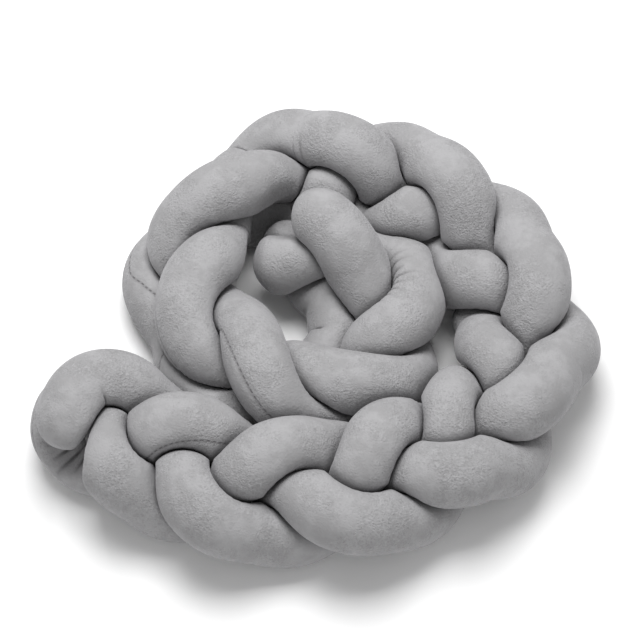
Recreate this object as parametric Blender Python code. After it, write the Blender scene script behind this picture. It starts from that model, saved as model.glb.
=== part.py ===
# Braided crib bumper: two filled plush tubes, one of them folded in half, plaited flat as three
# strands and laid on the floor as an inward spiral. Metres, +Z up, floor at z = 0.
# Origin: the middle of the spiral's bounding box, on the floor.

import math

import bpy
import numpy as np

TUBE_RADIUS = 0.0375  # a filled tube, unpressed
STACK = 0.050  # centre lines of two crossing tubes, once pressed together
LOWEST = 0.031  # centre line of a tube that lies on the floor
LIFT = 0.028  # rise and dip of a strand, out of the braid's own plane
PRESS_GAP = 0.0024  # left between two pressed tubes
BULGE = 1.07  # most that a pressed tube swells where it is free
SQUEEZE = 9  # sharpness of the creases between pressed tubes
BEND_LIMIT = 0.9  # share of the bend radius that the tube's inner side may take
SIDES = 14  # corners of a tube's section
RING_STEP = 0.018  # between sections
ROUTE_STEP = 0.009  # between points of a centre line
SAME_TUBE = 0.16  # nearer than this along one tube, it doesn't press on itself
VELVET_COLOR = (0.42, 0.41, 0.43, 1.0)
VELVET_ROUGHNESS = 0.95

# The arcs of the braid from its outer end, strands a, b and c in turn, on the outer edge and the
# inner edge in turn. Crest of each: x, y, height in mm, and how squarely the strand crosses over.
ARCS = (
    (-290, -166, 45, 0.20),
    (-228, -120, 74, 0.20),
    (-199, -229, 58, 0.20),
    (-128, -180, 76, 0.20),
    (-82, -279, 52, 0.20),
    (-2, -194, 76, 0.10),
    (98, -264, 52, 0.10),
    (84, -166, 78, 0.05),
    (216, -168, 48, 0.10),
    (157, -163, 64, 0.20),
    (282, -42, 58, 0.10),
    (222, -54, 50, 0.30),
    (232, 116, 76, 0.25),
    (168, 66, 42, 0.10),
    (102, 229, 72, 0.40),
    (72, 146, 16, 0.35),
    (-20, 222, 72, 0.10),
    (-30, 178, 24, 0.00),
    (-153, 102, 72, 0.00),
)

# Outer end: strands a and c are one tube, folded round behind strand b. x, y, height in mm.
FOLD = ((-294, -100, 44), (-252, -95, 38))
TUCKED_START = ((-249, -178, 70), (-266, -140, 92))

# Inner turns, past the last arc: each strand's bends, x, y and height in mm.
COIL = {
    "a": (
        (-176, 96, 74),
        (-163, 74, 56),
        (-150, 43, 48),
        (-128, 0, 58),
        (-106, -38, 76),
        (-58, -80, 79),
        (-24, -120, 62),
        (4, -132, 42),
        (34, -112, 33),
        (62, -78, 35),
        (84, -36, 56),
        (100, 0, 68),
        (115, 54, 66),
        (95, 104, 50),
        (61, 98, 44),
        (10, 82, 50),
        (-92, 70, 54),
    ),
    "b": (
        (-84, 182, 42),
        (-118, 152, 38),
        (-140, 112, 58),
        (-148, 68, 74),
        (-152, 24, 80),
        (-152, -24, 80),
        (-154, -60, 76),
        (-138, -74, 52),
        (-104, -78, 34),
        (-68, -90, 34),
        (-32, -114, 58),
        (14, -112, 78),
        (66, -104, 72),
        (86, -70, 44),
        (80, -26, 32),
        (74, 8, 62),
        (36, 62, 92),
        (-40, 124, 88),
    ),
    "c": (
        (-100, 170, 34),
        (-154, 114, 34),
        (-192, 68, 42),
        (-176, 38, 36),
        (-157, 8, 34),
        (-153, -24, 34),
        (-155, -55, 34),
        (-136, -86, 34),
        (-98, -100, 34),
        (-56, -98, 34),
        (-16, -88, 34),
        (24, -62, 34),
        (48, -26, 36),
        (38, 22, 42),
        (4, 68, 38),
        (-30, 122, 36),
        (-40, 166, 40),
    ),
}

MM = 0.001
STRANDS = "abc"
TUBES = ("folded_tube", "plain_tube")
RELAX_ROUNDS = 90
SMOOTH_ROUNDS = 8
REACH = 0.11  # no tube presses on another from further away


def through_points(points, at):
    # Points of the Catmull-Rom curve through the given points; 'at' counts them from 0.
    points = np.asarray(points, float)
    ends = (2 * points[0] - points[1], 2 * points[-1] - points[-2])
    padded = np.vstack([ends[0], points, ends[1]])
    at = np.clip(at, 0, len(points) - 1 - 1e-9)
    first = np.floor(at).astype(int)
    part = (at - first)[:, None]
    before, start, end, after = (padded[first + i] for i in range(4))
    bend = 2 * before - 5 * start + 4 * end - after
    twist = 3 * start - before - 3 * end + after
    return 0.5 * (2 * start + (end - before) * part + bend * part**2 + twist * part**3)


def lengths_along(points):
    steps = np.linalg.norm(np.diff(points, axis=0), axis=1)
    return np.concatenate([[0.0], np.cumsum(steps)])


def at_lengths(points, wanted):
    along = lengths_along(points)
    return np.stack([np.interp(wanted, along, points[:, k]) for k in range(3)], axis=1)


def evenly_spaced(points, step):
    total = lengths_along(points)[-1]
    return at_lengths(points, np.linspace(0, total, int(round(total / step)) + 1))


def smoothed(points, rounds):
    points = points.copy()
    for _ in range(rounds):
        points[1:-1] += 0.25 * (points[:-2] + points[2:] - 2 * points[1:-1])
    return points


def braided_part(strand):
    # The strand's route through the regular braid. Between its crests on the two edges it goes
    # down under one neighbour, crosses the middle, and comes up over the other.
    rows = np.array(ARCS)
    crests = rows[:, :3] * MM
    before = 2 * crests[1] - crests[3]
    after = 2 * crests[-2] - crests[-4]
    around = np.vstack([before, crests, after])
    middle = 0.5 * crests + 0.25 * (around[:-2] + around[2:])
    last = len(rows) - 1
    mine = range(STRANDS.index(strand), len(rows), 3)
    route = []
    for arc in mine:
        start = -0.75 if arc == mine[0] else -1.5
        stop = 0.1 if arc == mine[-1] else 1.5
        for shift in np.arange(start, stop, 0.25):
            angle = math.pi * shift / 3
            square = rows[arc, 3] * 3 / math.pi * math.sin(2 * angle)
            place = min(max(arc + shift + square, 0), last)
            centre = through_points(middle, np.array([place]))[0]
            ahead = through_points(middle, np.array([min(place + 0.2, last)]))[0]
            behind = through_points(middle, np.array([max(place - 0.2, 0)]))[0]
            side = crests[arc] - middle[arc]
            other = arc + (3 if shift > 0 else -3)
            if other in mine:
                ease = abs(shift) / 3
                ease = ease * ease * (3 - 2 * ease)
                side = side * (1 - ease) - (crests[other] - middle[other]) * ease
            up = np.cross(ahead - behind, side)
            up *= math.copysign(1, up[2]) / np.linalg.norm(up)
            route.append(centre + side * math.cos(angle) - up * LIFT * math.sin(2 * angle))
    return np.array(route)


def tube_routes():
    # Centre lines of the two tubes, from end to end.
    whole = {s: np.vstack([braided_part(s), np.array(COIL[s]) * MM]) for s in STRANDS}
    folded = np.vstack([whole["c"][::-1], np.array(FOLD)[::-1] * MM, whole["a"]])
    plain = np.vstack([np.array(TUCKED_START) * MM, whole["b"]])
    routes = []
    for points in (folded, plain):
        dense = through_points(points, np.arange(0, len(points) - 1, 0.1))
        even = evenly_spaced(dense, ROUTE_STEP)
        routes.append(smoothed(even, SMOOTH_ROUNDS))
    return settle(routes)


def settle(routes):
    # Moves crossing tubes apart until their centre lines are STACK apart, and off the floor.
    tube = np.repeat(np.arange(len(routes)), [len(r) for r in routes])
    along = np.concatenate([np.arange(len(r)) * ROUTE_STEP for r in routes])
    apart = tube[:, None] != tube[None]
    apart |= np.abs(along[:, None] - along[None]) > SAME_TUBE
    start = np.vstack(routes)
    points = start.copy()
    inner = (tube[1:-1] == tube[:-2]) & (tube[1:-1] == tube[2:])
    for _ in range(RELAX_ROUNDS):
        gap = points[:, None] - points[None]
        distance = np.linalg.norm(gap, axis=2) + 1e-9
        lack = np.where(apart, np.maximum(STACK - distance, 0), 0)
        push = (gap * (lack / distance)[..., None]).sum(axis=1)
        push /= np.maximum(np.count_nonzero(lack, axis=1), 1)[:, None]
        points += 0.5 * push + 0.02 * (start - points)
        bend = points[:-2] + points[2:] - 2 * points[1:-1]
        points[1:-1][inner] += 0.2 * bend[inner]
        points[:, 2] = np.maximum(points[:, 2], LOWEST)
    return [points[tube == i] for i in range(len(routes))]


def stations(total):
    # Lengths along a tube of its sections: close together where its ends round off.
    cap = TUBE_RADIUS * (1 - np.cos(np.radians((22, 45, 68))))
    inner = np.linspace(TUBE_RADIUS, total - TUBE_RADIUS, round(total / RING_STEP) - 2)
    return np.concatenate([cap, inner, total - cap[::-1]])


def end_rounding(lengths, total):
    inset = np.minimum(np.minimum(lengths, total - lengths) / TUBE_RADIUS, 1)
    return np.sqrt(1 - (1 - inset) ** 2)


def directions(route):
    ahead = np.gradient(route, axis=0)
    return ahead / np.linalg.norm(ahead, axis=1)[:, None]


def carried_frames(ahead):
    # Section axes carried along the tube without twisting.
    side = np.cross(ahead[0], (0, 0, 1))
    sides = []
    for direction in ahead:
        side = side - direction * side.dot(direction)
        side = side / np.linalg.norm(side)
        sides.append(side)
    return np.array(sides), np.cross(ahead, np.array(sides))


def softly_least(*limits):
    # Smooth minimum of positive lengths.
    return sum(limit**-SQUEEZE for limit in limits) ** (-1 / SQUEEZE)


def section_radii(centre, spokes, others, bend):
    # How far the tube reaches along each spoke before it meets its neighbours, the floor, or
    # itself on the inner side of a bend.
    gap = others - centre
    near = np.linalg.norm(gap, axis=1) < REACH
    gap = gap[near]
    half = 0.5 * (gap**2).sum(axis=1)
    facing = spokes @ gap.T
    neighbour = np.where(facing > 1e-6, half / np.maximum(facing, 1e-6), REACH)
    neighbour = neighbour.min(axis=1, initial=REACH) - 0.5 * PRESS_GAP
    inward = spokes @ bend
    inner_side = np.where(inward > 1e-3, BEND_LIMIT / np.maximum(inward, 1e-3), REACH)
    inner_side = np.minimum(inner_side, REACH)
    plain = softly_least(np.full(len(spokes), TUBE_RADIUS), neighbour)
    swell = min(BULGE, TUBE_RADIUS / math.sqrt((plain**2).mean()))
    full = np.full(len(spokes), TUBE_RADIUS * swell)
    radii = softly_least(full, neighbour, inner_side)
    down = np.maximum(-spokes[:, 2], 1e-6)
    return np.minimum(radii, centre[2] / down)


def tube_surface(index, routes):
    # Points and faces of one tube, pressed against its neighbours.
    route = routes[index]
    total = lengths_along(route)[-1]
    lengths = stations(total)
    fine_lengths = lengths_along(route)
    ahead = directions(route)
    bends = np.gradient(ahead, axis=0) / ROUTE_STEP
    centres = at_lengths(route, lengths)
    frame_ahead = np.stack([np.interp(lengths, fine_lengths, ahead[:, k]) for k in range(3)], 1)
    frame_ahead /= np.linalg.norm(frame_ahead, axis=1)[:, None]
    ring_bends = np.stack([np.interp(lengths, fine_lengths, bends[:, k]) for k in range(3)], 1)
    sides, ups = carried_frames(frame_ahead)
    rounding = end_rounding(lengths, total)
    angles = np.linspace(0, 2 * math.pi, SIDES, endpoint=False)
    rings = []
    for i, centre in enumerate(centres):
        spokes = np.outer(np.cos(angles), sides[i]) + np.outer(np.sin(angles), ups[i])
        others = [r for j, r in enumerate(routes) if j != index]
        others.append(route[np.abs(fine_lengths - lengths[i]) > SAME_TUBE])
        radii = section_radii(centre, spokes, np.vstack(others), ring_bends[i])
        rings.append(centre + spokes * (radii * rounding[i])[:, None])
    points = np.vstack([route[0], *rings, route[-1]])
    faces = []
    for ring in range(len(rings) - 1):
        for k in range(SIDES):
            a = 1 + ring * SIDES + k
            b = 1 + ring * SIDES + (k + 1) % SIDES
            faces.append((a, b, b + SIDES, a + SIDES))
    last = 1 + (len(rings) - 1) * SIDES
    for k in range(SIDES):
        faces.append((0, 1 + (k + 1) % SIDES, 1 + k))
        faces.append((last + k, last + (k + 1) % SIDES, len(points) - 1))
    return points, faces


def tube_object(name, points, faces):
    mesh = bpy.data.meshes.new(name)
    mesh.from_pydata(points.tolist(), [], faces)
    mesh.validate()
    mesh.shade_smooth()
    mesh.materials.append(velvet(name + "_velvet"))
    tube = bpy.data.objects.new(name, mesh)
    bpy.context.scene.collection.objects.link(tube)


def velvet(name):
    material = bpy.data.materials.new(name)
    material.use_nodes = True
    surface = material.node_tree.nodes["Principled BSDF"]
    surface.inputs["Base Color"].default_value = VELVET_COLOR
    surface.inputs["Roughness"].default_value = VELVET_ROUGHNESS
    surface.inputs["Metallic"].default_value = 0.0
    return material


def clear_scene():
    for item in list(bpy.data.objects):
        bpy.data.objects.remove(item, do_unlink=True)


def main():
    clear_scene()
    routes = tube_routes()
    surfaces = [tube_surface(index, routes) for index in range(len(TUBES))]
    everything = np.vstack([points for points, _ in surfaces])
    middle = 0.5 * (everything.min(axis=0) + everything.max(axis=0))
    middle[2] = 0
    for name, (points, faces) in zip(TUBES, surfaces):
        tube_object(name, points - middle, faces)


if __name__ == "__main__":
    main()
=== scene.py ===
import math

import bpy
import numpy as np
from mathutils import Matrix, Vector


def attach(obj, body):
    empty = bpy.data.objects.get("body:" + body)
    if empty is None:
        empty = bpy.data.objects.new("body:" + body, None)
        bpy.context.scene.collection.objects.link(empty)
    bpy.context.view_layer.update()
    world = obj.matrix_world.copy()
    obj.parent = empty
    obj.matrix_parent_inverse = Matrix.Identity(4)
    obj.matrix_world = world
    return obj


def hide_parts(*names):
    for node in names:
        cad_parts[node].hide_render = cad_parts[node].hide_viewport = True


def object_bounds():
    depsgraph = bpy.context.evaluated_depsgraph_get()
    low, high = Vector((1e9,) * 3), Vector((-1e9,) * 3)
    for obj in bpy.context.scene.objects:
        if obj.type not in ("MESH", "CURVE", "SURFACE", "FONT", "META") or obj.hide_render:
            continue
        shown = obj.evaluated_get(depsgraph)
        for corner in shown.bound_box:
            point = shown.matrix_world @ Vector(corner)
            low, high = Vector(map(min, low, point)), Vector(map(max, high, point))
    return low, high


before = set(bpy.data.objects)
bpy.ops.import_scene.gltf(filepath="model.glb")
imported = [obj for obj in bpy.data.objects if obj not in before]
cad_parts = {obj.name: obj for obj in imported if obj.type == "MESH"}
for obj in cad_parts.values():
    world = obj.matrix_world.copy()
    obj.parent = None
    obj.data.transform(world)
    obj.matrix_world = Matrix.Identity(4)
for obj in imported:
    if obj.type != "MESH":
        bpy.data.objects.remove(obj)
cadLow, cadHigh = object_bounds()

# A braided crib bumper of velvet tubes, lying on the floor as an inward spiral.
# Metres, +Z up, the floor at z = 0. All lays below are in millimetres, as traced over the photo.
mm = 0.001

# The arcs of the plait from its outer end, strands a, b and c in turn, outer edge and inner edge
# in turn: x, y and height of each crest, and how squarely the strand crosses over.
arcs = (
    (-290, -166, 45, 0.20),
    (-228, -120, 74, 0.20),
    (-199, -229, 58, 0.20),
    (-128, -180, 76, 0.20),
    (-82, -279, 52, 0.20),
    (-2, -194, 76, 0.10),
    (98, -264, 52, 0.10),
    (84, -166, 78, 0.05),
    (216, -168, 48, 0.10),
    (157, -163, 64, 0.20),
    (282, -42, 58, 0.10),
    (222, -54, 50, 0.30),
    (232, 116, 76, 0.25),
    (168, 66, 42, 0.10),
    (102, 229, 72, 0.40),
    (72, 146, 16, 0.35),
    (-20, 222, 72, 0.10),
    (-30, 178, 24, 0.00),
    (-153, 102, 72, 0.00),
)

# Outer end: strands a and c are one tube, folded round behind strand b, which starts tucked in.
fold = ((-294, -100, 44), (-252, -95, 38))
tuckedStart = ((-249, -178, 70), (-266, -140, 92))

# Inner turns, past the last arc of the plait.
coil = {
    "a": (
        (-176, 96, 74),
        (-163, 74, 56),
        (-150, 43, 48),
        (-128, 0, 58),
        (-106, -38, 76),
        (-58, -80, 79),
        (-24, -120, 62),
        (4, -132, 42),
        (34, -112, 33),
        (62, -78, 35),
        (84, -36, 56),
        (100, 0, 68),
        (115, 54, 66),
        (95, 104, 50),
        (61, 98, 44),
        (10, 82, 50),
        (-92, 70, 54),
    ),
    "b": (
        (-84, 182, 42),
        (-118, 152, 38),
        (-140, 112, 58),
        (-148, 68, 74),
        (-152, 24, 80),
        (-152, -24, 80),
        (-154, -60, 76),
        (-138, -74, 52),
        (-104, -78, 34),
        (-68, -90, 34),
        (-32, -114, 58),
        (14, -112, 78),
        (66, -104, 72),
        (86, -70, 44),
        (80, -26, 32),
        (74, 8, 62),
        (36, 62, 92),
        (-40, 124, 88),
    ),
    "c": (
        (-100, 170, 34),
        (-154, 114, 34),
        (-192, 68, 42),
        (-176, 38, 36),
        (-157, 8, 34),
        (-153, -24, 34),
        (-155, -55, 34),
        (-136, -86, 34),
        (-98, -100, 34),
        (-56, -98, 34),
        (-16, -88, 34),
        (24, -62, 34),
        (48, -26, 36),
        (38, 22, 42),
        (4, 68, 38),
        (-30, 122, 36),
        (-40, 166, 40),
    ),
}

filling = {
    "tubeRadius": 0.0375,  # a filled tube, unpressed
    "stack": 0.050,  # centre lines of two crossing tubes, once pressed together
    "lowest": 0.031,  # centre line of a tube on the floor
    "lift": 0.028,  # rise and dip of a strand, out of the plait's own plane
    "pressGap": 0.0012,  # left between two pressed tubes
    "bulge": 1.07,  # most that a pressed tube swells where it is free
    "squeeze": 8,  # sharpness of the creases between pressed tubes
    "bendLimit": 0.9,  # share of the bend radius that the inner side may take
    "sameTube": 0.16,  # nearer than this along one tube, it doesn't press on itself
    "reach": 0.11,  # nothing further than this from a centre line presses on it
    "touchGap": 0.004,  # a neighbour this near still counts as touching, for the painted shade on the pile and for puckers and lumps
    "routeStep": 0.009,
    "relaxRounds": 90,
    "smoothRounds": 8,
    "directionRounds": 12,
    "bendRounds": 6,
}


def throughPoints(points, at):
    # Catmull-Rom curve through the points; 'at' counts them from 0
    points = np.asarray(points, float)
    padded = np.vstack([2 * points[0] - points[1], points, 2 * points[-1] - points[-2]])
    at = np.clip(at, 0, len(points) - 1 - 1e-9)
    first = np.floor(at).astype(int)
    part = (at - first)[:, None]
    before, start, end, after = (padded[first + i] for i in range(4))
    bend = 2 * before - 5 * start + 4 * end - after
    twist = 3 * start - before - 3 * end + after
    return 0.5 * (2 * start + (end - before) * part + bend * part**2 + twist * part**3)


def lengthsAlong(points):
    steps = np.linalg.norm(np.diff(points, axis=0), axis=1)
    return np.concatenate([[0.0], np.cumsum(steps)])


def evenlySpaced(points, step):
    along = lengthsAlong(points)
    wanted = np.linspace(0, along[-1], int(round(along[-1] / step)) + 1)
    return np.stack([np.interp(wanted, along, points[:, k]) for k in range(3)], axis=1)


def smoothed(points, rounds):
    points = points.copy()
    for _ in range(rounds):
        points[1:-1] += 0.25 * (points[:-2] + points[2:] - 2 * points[1:-1])
    return points


def plaitedPart(strand):
    # The strand goes down under one neighbour, crosses the middle and comes up over the other
    rows = np.array(arcs)
    crests = rows[:, :3] * mm
    around = np.vstack([2 * crests[1] - crests[3], crests, 2 * crests[-2] - crests[-4]])
    middle = 0.5 * crests + 0.25 * (around[:-2] + around[2:])
    last = len(rows) - 1
    mine = range("abc".index(strand), len(rows), 3)
    route = []
    for arc in mine:
        start = -0.75 if arc == mine[0] else -1.5
        stop = 0.1 if arc == mine[-1] else 1.5
        for shift in np.arange(start, stop, 0.25):
            angle = math.pi * shift / 3
            square = rows[arc, 3] * 3 / math.pi * math.sin(2 * angle)
            place = min(max(arc + shift + square, 0), last)
            centre = throughPoints(middle, np.array([place]))[0]
            ahead = throughPoints(middle, np.array([min(place + 0.2, last)]))[0]
            behind = throughPoints(middle, np.array([max(place - 0.2, 0)]))[0]
            side = crests[arc] - middle[arc]
            other = arc + (3 if shift > 0 else -3)
            if other in mine:
                ease = abs(shift) / 3
                ease = ease * ease * (3 - 2 * ease)
                side = side * (1 - ease) - (crests[other] - middle[other]) * ease
            up = np.cross(ahead - behind, side)
            up *= math.copysign(1, up[2]) / np.linalg.norm(up)
            lift = filling["lift"] * math.sin(2 * angle)
            route.append(centre + side * math.cos(angle) - up * lift)
    return np.array(route)


def tubeRoutes():
    whole = {s: np.vstack([plaitedPart(s), np.array(coil[s]) * mm]) for s in "abc"}
    folded = np.vstack([whole["c"][::-1], np.array(fold)[::-1] * mm, whole["a"]])
    plain = np.vstack([np.array(tuckedStart) * mm, whole["b"]])
    routes = []
    for points in (folded, plain):
        dense = throughPoints(points, np.arange(0, len(points) - 1, 0.1))
        even = evenlySpaced(dense, filling["routeStep"])
        routes.append(smoothed(even, filling["smoothRounds"]))
    return settled(routes)


def settled(routes):
    # Crossing tubes move apart until they only press on each other, and rise off the floor
    step = filling["routeStep"]
    tube = np.repeat(np.arange(len(routes)), [len(r) for r in routes])
    along = np.concatenate([np.arange(len(r)) * step for r in routes])
    apart = tube[:, None] != tube[None]
    apart |= np.abs(along[:, None] - along[None]) > filling["sameTube"]
    start = np.vstack(routes)
    points = start.copy()
    inner = (tube[1:-1] == tube[:-2]) & (tube[1:-1] == tube[2:])
    for _ in range(filling["relaxRounds"]):
        gap = points[:, None] - points[None]
        distance = np.linalg.norm(gap, axis=2) + 1e-9
        lack = np.where(apart, np.maximum(filling["stack"] - distance, 0), 0)
        push = (gap * (lack / distance)[..., None]).sum(axis=1)
        push /= np.maximum(np.count_nonzero(lack, axis=1), 1)[:, None]
        points += 0.5 * push + 0.02 * (start - points)
        bend = points[:-2] + points[2:] - 2 * points[1:-1]
        points[1:-1][inner] += 0.2 * bend[inner]
        points[:, 2] = np.maximum(points[:, 2], filling["lowest"])
    return [points[tube == i] for i in range(len(routes))]


print("camera and light")

view = {
    "elevation": 60.0,
    "distance": 2.7,
    "lens": 126.6,
    "sensor": 36.0,
    "aim": (0.0026, 0.0204, 0.05),
}


def makeCamera():
    data = bpy.data.cameras.new("camera")
    data.lens = view["lens"]
    data.sensor_width = view["sensor"]
    camera = bpy.data.objects.new("camera", data)
    bpy.context.scene.collection.objects.link(camera)
    high = math.radians(view["elevation"])
    back = Vector((0, -math.cos(high), math.sin(high)))
    camera.location = Vector(view["aim"]) + back * view["distance"]
    camera.rotation_mode = "QUATERNION"
    camera.rotation_quaternion = (-back).to_track_quat("-Z", "Y")
    bpy.context.scene.camera = camera


lights = (
    # name, place, size, watts, colour
    ("overheadSoftbox", (-0.15, 0.8, 2.4), 1.5, 70.0, (1.0, 1.0, 1.0)),
    ("frontFill", (0.3, -2.2, 1.3), 1.6, 7.0, (1.0, 1.0, 1.0)),
)
surround = {"color": (1.0, 1.0, 1.0), "strength": 0.38}


def makeLights():
    for name, place, size, watts, color in lights:
        data = bpy.data.lights.new(name, "AREA")
        data.shape = "SQUARE"
        data.size = size
        data.energy = watts
        data.color = color
        lamp = bpy.data.objects.new(name, data)
        bpy.context.scene.collection.objects.link(lamp)
        lamp.location = place
        lamp.rotation_mode = "QUATERNION"
        lamp.rotation_quaternion = (-Vector(place)).to_track_quat("-Z", "Y")
    world = bpy.data.worlds.new("studio")
    world.use_nodes = True
    background = world.node_tree.nodes["Background"]
    background.inputs["Color"].default_value = (*surround["color"], 1)
    background.inputs["Strength"].default_value = surround["strength"]
    bpy.context.scene.world = world
    bpy.context.scene.view_settings.view_transform = "Standard"


makeCamera()
makeLights()


class Channel:
    # a number socket that can be used in sums

    def __init__(self, cloth, socket):
        self.cloth = cloth
        self.socket = socket

    def __add__(self, other):
        return self.cloth.sum("ADD", self, other)

    def __radd__(self, other):
        return self.cloth.sum("ADD", other, self)

    def __sub__(self, other):
        return self.cloth.sum("SUBTRACT", self, other)

    def __rsub__(self, other):
        return self.cloth.sum("SUBTRACT", other, self)

    def __mul__(self, other):
        return self.cloth.sum("MULTIPLY", self, other)

    def __rmul__(self, other):
        return self.cloth.sum("MULTIPLY", other, self)

    def __truediv__(self, other):
        return self.cloth.sum("DIVIDE", self, other)

    def __rtruediv__(self, other):
        return self.cloth.sum("DIVIDE", other, self)


class ClothNodes:
    # a material and the nodes that make it

    def __init__(self, name):
        self.material = bpy.data.materials.new(name)
        self.material.use_nodes = True
        self.tree = self.material.node_tree
        self.tree.nodes.clear()

    def node(self, kind, settings=None, sockets=None, output=0):
        made = self.tree.nodes.new(kind)
        for name, value in (settings or {}).items():
            setattr(made, name, value)
        for name, value in (sockets or {}).items():
            if isinstance(value, Channel):
                self.tree.links.new(value.socket, made.inputs[name])
            else:
                made.inputs[name].default_value = value
        return Channel(self, made.outputs[output]) if made.outputs else made

    def sum(self, operation, first, second):
        return self.node("ShaderNodeMath", {"operation": operation}, {0: first, 1: second})

    def between(self, value, low, high):
        # 0 below low, 1 above high, smooth in between
        settings = {"interpolation_type": "SMOOTHSTEP"}
        return self.node("ShaderNodeMapRange", settings, {0: value, 1: low, 2: high})

    def mixed(self, factor, first, second):
        settings = {"data_type": "RGBA", "clamp_factor": True}
        return self.node("ShaderNodeMix", settings, {0: factor, 6: first, 7: second}, 2)


velvet = {
    "pileColor": (0.335, 0.332, 0.338, 1),
    "brushedLight": (0.420, 0.417, 0.428, 1),
    "brushedDark": (0.250, 0.247, 0.252, 1),
    # painted shade: the dark colour laid into wrinkle valleys, where pressed tubes meet, and
    # down the seam groove
    "paintedShadeColor": (0.120, 0.115, 0.118, 1),
    "threadColor": (0.110, 0.106, 0.110, 1),
    "roughness": 0.86,
    "sheen": 0.26,
    "sheenRoughness": 0.40,
    "sheenColor": (0.90, 0.89, 0.93, 1),
    "grain": 430.0,  # pile tufts to the metre
    "clumps": 230.0,
    "patches": 24.0,
    "grainHeight": 0.0018,
    "stitchStep": 0.0056,
    "stitchWidth": 0.0012,
}


def makeVelvet():
    v = velvet
    cloth = ClothNodes("greyVelvet")
    place = cloth.node("ShaderNodeTexCoord", output=3)
    run = cloth.node("ShaderNodeUVMap", {"uv_map": "tubeRun"})
    along = cloth.node("ShaderNodeSeparateXYZ", sockets={0: run}, output=0)
    round = cloth.node("ShaderNodeSeparateXYZ", sockets={0: run}, output=1)

    def noise(scale, detail, rough, vector=place):
        sockets = {"Vector": vector, "Scale": scale, "Detail": detail, "Roughness": rough}
        return cloth.node("ShaderNodeTexNoise", {"noise_dimensions": "3D"}, sockets)

    # Brushed patches, where a hand has laid the pile one way or the other
    brushed = noise(v["patches"], 3.0, 0.55)
    brushedFine = noise(v["patches"] * 3.4, 2.0, 0.5)
    laid = cloth.between(brushed * 0.65 + brushedFine * 0.35, 0.40, 0.60)

    # Pile grain: fine tufts in loose clumps, stronger in some patches than in others
    tufts = noise(v["grain"], 2.0, 0.6)
    clumps = noise(v["clumps"], 3.0, 0.6)
    rubbed = cloth.between(noise(v["patches"] * 0.8, 2.0, 0.5), 0.38, 0.62)
    grain = (tufts - 0.5) * 1.2 + (clumps - 0.5) * 0.7
    grain = grain * (rubbed * 0.70 + 0.45)

    # Stitches: short dashes down the sewn seam
    beat = cloth.node("ShaderNodeMath", {"operation": "FRACT"}, {0: along / v["stitchStep"]})
    off = cloth.node("ShaderNodeMath", {"operation": "ABSOLUTE"}, {0: round})
    dash = cloth.between(beat, 0.30, 0.42) * (1 - cloth.between(beat, 0.82, 0.94))
    dash = dash * (1 - cloth.between(off, v["stitchWidth"] * 0.5, v["stitchWidth"]))
    # mask for painted shade down the seam groove
    groove = 1 - cloth.between(off, 0.0006, 0.0030)

    shade = cloth.mixed(laid, v["brushedDark"], v["brushedLight"])
    shade = cloth.mixed(0.70, shade, v["pileColor"])
    shade = cloth.mixed(cloth.between(grain, 0.02, 0.28) * 0.55, shade, v["brushedLight"])
    shade = cloth.mixed(cloth.between(0 - grain, 0.02, 0.28) * 0.60, shade, v["brushedDark"])
    # Painted shade: darker in wrinkle valleys, where pressed tubes meet, and down the seam
    # groove
    paintedShade = cloth.node("ShaderNodeAttribute", {"attribute_name": "paintedShade"}, output=2)
    shade = cloth.mixed(paintedShade * 0.75, shade, v["paintedShadeColor"])
    shade = cloth.mixed(groove * 0.35, shade, v["paintedShadeColor"])
    shade = cloth.mixed(dash * 0.62, shade, v["threadColor"])

    height = grain - dash * 0.5
    bump = cloth.node(
        "ShaderNodeBump",
        sockets={"Strength": 0.75, "Distance": v["grainHeight"], "Height": height},
    )
    sockets = {
        "Base Color": shade,
        "Roughness": v["roughness"] - laid * 0.08,
        "Sheen Weight": v["sheen"],
        "Sheen Roughness": v["sheenRoughness"],
        "Sheen Tint": v["sheenColor"],
        "Specular IOR Level": 0.18,
        "Normal": bump,
    }
    surface = cloth.node("ShaderNodeBsdfPrincipled", sockets=sockets)
    cloth.node("ShaderNodeOutputMaterial", sockets={"Surface": surface})
    return cloth.material


print("tube shapes")

# The sewn seam winds slowly round each tube: share of the length, degrees round the tube.
# Wrinkled places: share of the length, half their length in metres, degrees round the tube,
# half their width in degrees, and depth in metres.
foldedTube = {
    "name": "folded_tube",
    "route": 0,
    "seam": (
        (0.00, 120),
        (0.08, 130),
        (0.105, 250),
        (0.117, 248),
        (0.121, 235),
        (0.124, 215),
        (0.135, 185),
        (0.17, 150),
        (0.31, 130),
        (0.45, 60),
        (0.475, 20),
        (0.4875, 13),
        (0.4895, 25),
        (0.495, 40),
        (0.51, 20),
        (0.5225, -12),
        (0.530, -24),
        (0.536, -38),
        (0.56, -120),
        (0.60, -120),
        (0.64, -160),
        (0.82, -170),
        (0.85, -260),
        (0.868, -332),
        (0.875, -334),
        (0.887, -340),
        (0.91, -300),
        (0.94, -270),
        (1.00, -300),
    ),
    "wrinkled": (
        (0.4915, 0.038, 312, 46, 0.0065),
        (0.9480, 0.046, 214, 40, 0.0042),
    ),
}
plainTube = {
    "name": "plain_tube",
    "route": 1,
    "seam": (
        (0.00, 100),
        (0.13, 120),
        (0.34, 170),
        (0.58, 170),
        (0.68, 120),
        (0.73, 50),
        (0.748, 40),
        (0.770, 44),
        (0.79, 90),
        (0.85, 110),
        (1.00, 100),
    ),
    "wrinkled": ((0.6045, 0.010, 308, 34, 0.0030),),
}
shaping = {
    "sides": 52,
    "capStep": 6,  # degrees between the rings of a rounded end
    "ringStep": 0.0032,
    "fineRingStep": 0.0013,  # at the wrinkled places
    "seamDepth": 0.0012,
    "seamWidth": 0.0034,
    "wrinkleStep": 0.0135,  # along the middle of the tube
    "paintedShadeDepth": 0.0040,  # of a wrinkle, where the painted shade in its valley is darkest
    "puckerDepth": 0.0007,
    "puckerStep": 0.0130,
    "lumpHeight": 0.0006,
}


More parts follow.
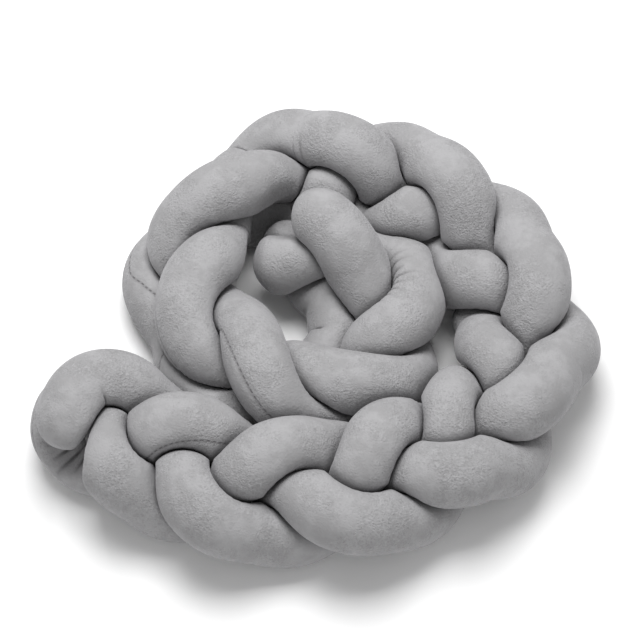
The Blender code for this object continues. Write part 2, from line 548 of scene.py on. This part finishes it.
def ringStations(total, wrinkled):
    radius = filling["tubeRadius"]
    capStep = shaping["capStep"]
    cap = radius * (1 - np.cos(np.radians(np.arange(capStep, 90, capStep))))
    stations = [radius]
    while stations[-1] < total - radius:
        fine = any(abs(stations[-1] - row[0] * total) < 1.6 * row[1] for row in wrinkled)
        stations.append(stations[-1] + shaping["fineRingStep" if fine else "ringStep"])
    inner = np.interp(stations, (radius, stations[-1]), (radius, total - radius))
    return np.concatenate([cap, inner, total - cap[::-1]])


def endRounding(lengths, total):
    inset = np.minimum(np.minimum(lengths, total - lengths) / filling["tubeRadius"], 1)
    return np.sqrt(1 - (1 - inset) ** 2)


def carriedFrames(ahead):
    side = np.cross(ahead[0], (0, 0, 1))
    sides = []
    for direction in ahead:
        side = side - direction * side.dot(direction)
        side = side / np.linalg.norm(side)
        sides.append(side)
    return np.array(sides), np.cross(ahead, np.array(sides))


def softlyLeast(*limits):
    power = filling["squeeze"]
    return sum(limit**-power for limit in limits) ** (-1 / power)


def sectionRadii(centre, spokes, others, bend):
    # How far the tube reaches along each spoke before it meets a neighbour, the floor, or itself
    # on the inner side of a bend; and how much of that is a neighbour's doing
    radius = filling["tubeRadius"]
    reach = filling["reach"]
    gap = others - centre
    gap = gap[np.linalg.norm(gap, axis=1) < reach]
    half = 0.5 * (gap**2).sum(axis=1)
    facing = spokes @ gap.T
    neighbour = np.where(facing > 1e-6, half / np.maximum(facing, 1e-6), reach)
    neighbour = neighbour.min(axis=1, initial=reach) - 0.5 * filling["pressGap"]
    inward = spokes @ bend
    innerSide = np.where(inward > 1e-3, filling["bendLimit"] / np.maximum(inward, 1e-3), reach)
    innerSide = np.minimum(innerSide, reach)
    plain = softlyLeast(np.full(len(spokes), radius), neighbour)
    swell = min(filling["bulge"], radius / math.sqrt((plain**2).mean()))
    full = np.full(len(spokes), radius * swell)
    radii = softlyLeast(full, neighbour, innerSide)
    down = np.maximum(-spokes[:, 2], 1e-6)
    floor = centre[2] / down
    touch = np.clip(1 - (neighbour - radii) / filling["touchGap"], 0, 1)
    return np.minimum(radii, floor), touch


def waves(along, round, seed):
    # slow uneven numbers about 0, alike on every run
    total = np.zeros(np.broadcast(along, round).shape)
    steps = ((31.0, 1, 1.0), (53.0, 2, 0.7), (87.0, 3, 0.45))
    for k, (pace, turns, size) in enumerate(steps):
        total = total + size * np.sin(along * pace + turns * round + seed * (1.7 + k))
    return total / 2.15


def valley(phase):
    return np.clip(1 - np.abs(np.sin(math.pi * phase)) * 1.35, 0, 1) ** 1.4


def makeTube(spec, routes, material):
    route = routes[spec["route"]]
    fine = throughPoints(route, np.arange(0, len(route) - 1 + 1e-6, 0.25))
    fineLengths = lengthsAlong(fine)
    total = fineLengths[-1]
    direction = np.gradient(fine, fineLengths, axis=0)
    direction /= np.linalg.norm(direction, axis=1)[:, None]
    direction = smoothed(direction, filling["directionRounds"])
    direction /= np.linalg.norm(direction, axis=1)[:, None]
    bends = smoothed(np.gradient(direction, fineLengths, axis=0), filling["bendRounds"])
    lengths = ringStations(total, spec["wrinkled"])

    def at(values):
        return np.stack([np.interp(lengths, fineLengths, values[:, k]) for k in range(3)], 1)

    centres = at(fine)
    ahead = at(direction)
    ahead /= np.linalg.norm(ahead, axis=1)[:, None]
    ringBends = at(bends)
    sideAxes, upAxes = carriedFrames(ahead)
    rounding = endRounding(lengths, total)
    sides = shaping["sides"]
    angles = np.linspace(0, 2 * math.pi, sides, endpoint=False)
    shares = lengths / total
    seam = np.radians(np.interp(shares, *np.array(spec["seam"]).T))
    others = [r for j, r in enumerate(routes) if j != spec["route"]]
    dense = [throughPoints(r, np.arange(0, len(r) - 1 + 1e-6, 0.5)) for r in others]
    own = throughPoints(route, np.arange(0, len(route) - 1 + 1e-6, 0.5))
    ownLengths = lengthsAlong(own)
    ringPoints, creases = [], []
    for i, centre in enumerate(centres):
        spin = angles + seam[i]
        spokes = np.outer(np.cos(spin), sideAxes[i]) + np.outer(np.sin(spin), upAxes[i])
        near = own[np.abs(ownLengths - lengths[i]) > filling["sameTube"]]
        radii, touch = sectionRadii(centre, spokes, np.vstack(dense + [near]), ringBends[i])

        # Wrinkles, where the cloth has some to spare
        wrinkle = np.zeros(sides)
        fold = valley(lengths[i] / shaping["wrinkleStep"] + 0.30 * waves(lengths[i], spin, 2.0))
        for share, half, middle, spread, most in spec["wrinkled"]:
            off = (np.degrees(spin) - middle + 180) % 360 - 180
            along = math.exp(-(((shares[i] - share) * total / half) ** 2))
            reach = spread * (0.75 + 0.25 * math.sin(lengths[i] * 2.4 / shaping["wrinkleStep"]))
            wrinkle = np.maximum(wrinkle, most * along * np.exp(-((off / reach) ** 2)) * fold)
        # painted shade, darkest in the deepest wrinkle valleys
        shade = wrinkle / shaping["paintedShadeDepth"]

        # Small puckers beside a neighbour, and soft lumps of filling where nothing presses
        beside = 4 * touch * (1 - touch)
        ripple = 0.5 + 0.5 * np.sin(lengths[i] * 2 * math.pi / shaping["puckerStep"] + 2 * spin)
        wrinkle = wrinkle + shaping["puckerDepth"] * beside * ripple
        lump = shaping["lumpHeight"] * (1 - touch) * waves(lengths[i] * 0.8, spin, 9.0)

        # The sewn seam draws in a narrow groove
        turn = (angles + math.pi) % (2 * math.pi) - math.pi
        across = turn * radii
        groove = np.exp(-((across / shaping["seamWidth"]) ** 2))
        radii = radii + lump - wrinkle - shaping["seamDepth"] * groove * rounding[i]
        ringPoints.append(centre + spokes * (radii * rounding[i])[:, None])
        # painted shade: wrinkle valleys, and a little more where a neighbour tube presses
        creases.append(np.clip(shade + 0.3 * touch, 0, 1))
    points = np.vstack([fine[0], *ringPoints, fine[-1]])
    points[:, 2] = np.maximum(points[:, 2], 0)
    paintedShadeValues = np.concatenate([[0.0], *creases, [0.0]])

    faces = []
    around = []
    for ring in range(len(ringPoints) - 1):
        for k in range(sides):
            a = 1 + ring * sides + k
            b = 1 + ring * sides + (k + 1) % sides
            faces.append((a, b, b + sides, a + sides))
            start, end = angles[k], angles[k] + 2 * math.pi / sides
            around.append((lengths[ring], lengths[ring + 1], start, end))
    last = 1 + (len(ringPoints) - 1) * sides
    for k in range(sides):
        faces.append((0, 1 + (k + 1) % sides, 1 + k))
        faces.append((last + k, last + (k + 1) % sides, len(points) - 1))

    mesh = bpy.data.meshes.new(spec["name"] + "_velvet")
    mesh.from_pydata(points.tolist(), [], faces)
    mesh.shade_smooth()
    radius = filling["tubeRadius"]
    runs = []
    for low, high, start, end in around:
        if start >= math.pi - 1e-9:
            start, end = start - 2 * math.pi, end - 2 * math.pi
        runs += [(low, start * radius), (low, end * radius)]
        runs += [(high, end * radius), (high, start * radius)]
    runs += [(0.0, radius)] * (len(mesh.loops) - len(runs))
    layer = mesh.uv_layers.new(name="tubeRun")
    layer.data.foreach_set("uv", np.array(runs, np.float32).ravel())
    # the painted shade goes to the velvet as a point attribute
    marks = mesh.attributes.new("paintedShade", "FLOAT", "POINT")
    marks.data.foreach_set("value", paintedShadeValues.astype(np.float32))
    mesh.materials.append(material)
    tube = bpy.data.objects.new(spec["name"] + "_velvet", mesh)
    bpy.context.scene.collection.objects.link(tube)
    print(spec["name"], len(faces), "faces,", round(total, 2), "m long")
    return tube


def placeTubes(tubes):
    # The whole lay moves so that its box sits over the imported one
    low = np.min([np.min([v.co for v in t.data.vertices], axis=0) for t in tubes], axis=0)
    high = np.max([np.max([v.co for v in t.data.vertices], axis=0) for t in tubes], axis=0)
    aim = 0.5 * (np.array(cadLow) + np.array(cadHigh))
    move = Vector(aim - 0.5 * (low + high))
    move.z = 0
    for tube in tubes:
        for vertex in tube.data.vertices:
            vertex.co += move


routes = tubeRoutes()
greyVelvet = makeVelvet()
tubes = [makeTube(spec, routes, greyVelvet) for spec in (foldedTube, plainTube)]
placeTubes(tubes)
for spec, tube in zip((foldedTube, plainTube), tubes):
    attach(tube, "root")
    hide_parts(spec["name"])

print("floor")

studioFloor = {
    "size": 12.0,
    "drop": 0.0003,  # below the tubes, so that the two never share a plane
    "color": (0.94, 0.94, 0.94, 1),
    "roughness": 0.8,
}


def makeFloor():
    half = studioFloor["size"] / 2
    mesh = bpy.data.meshes.new("studioFloor")
    corners = [(-half, -half, 0), (half, -half, 0), (half, half, 0), (-half, half, 0)]
    mesh.from_pydata(corners, [], [(0, 1, 2, 3)])
    paper = ClothNodes("paleFloor")
    sockets = {"Base Color": studioFloor["color"], "Roughness": studioFloor["roughness"]}
    surface = paper.node("ShaderNodeBsdfPrincipled", sockets=sockets)
    paper.node("ShaderNodeOutputMaterial", sockets={"Surface": surface})
    mesh.materials.append(paper.material)
    floor = bpy.data.objects.new("studioFloor", mesh)
    bpy.context.scene.collection.objects.link(floor)
    floor.location.z = -studioFloor["drop"]


makeFloor()

bpy.context.view_layer.update()
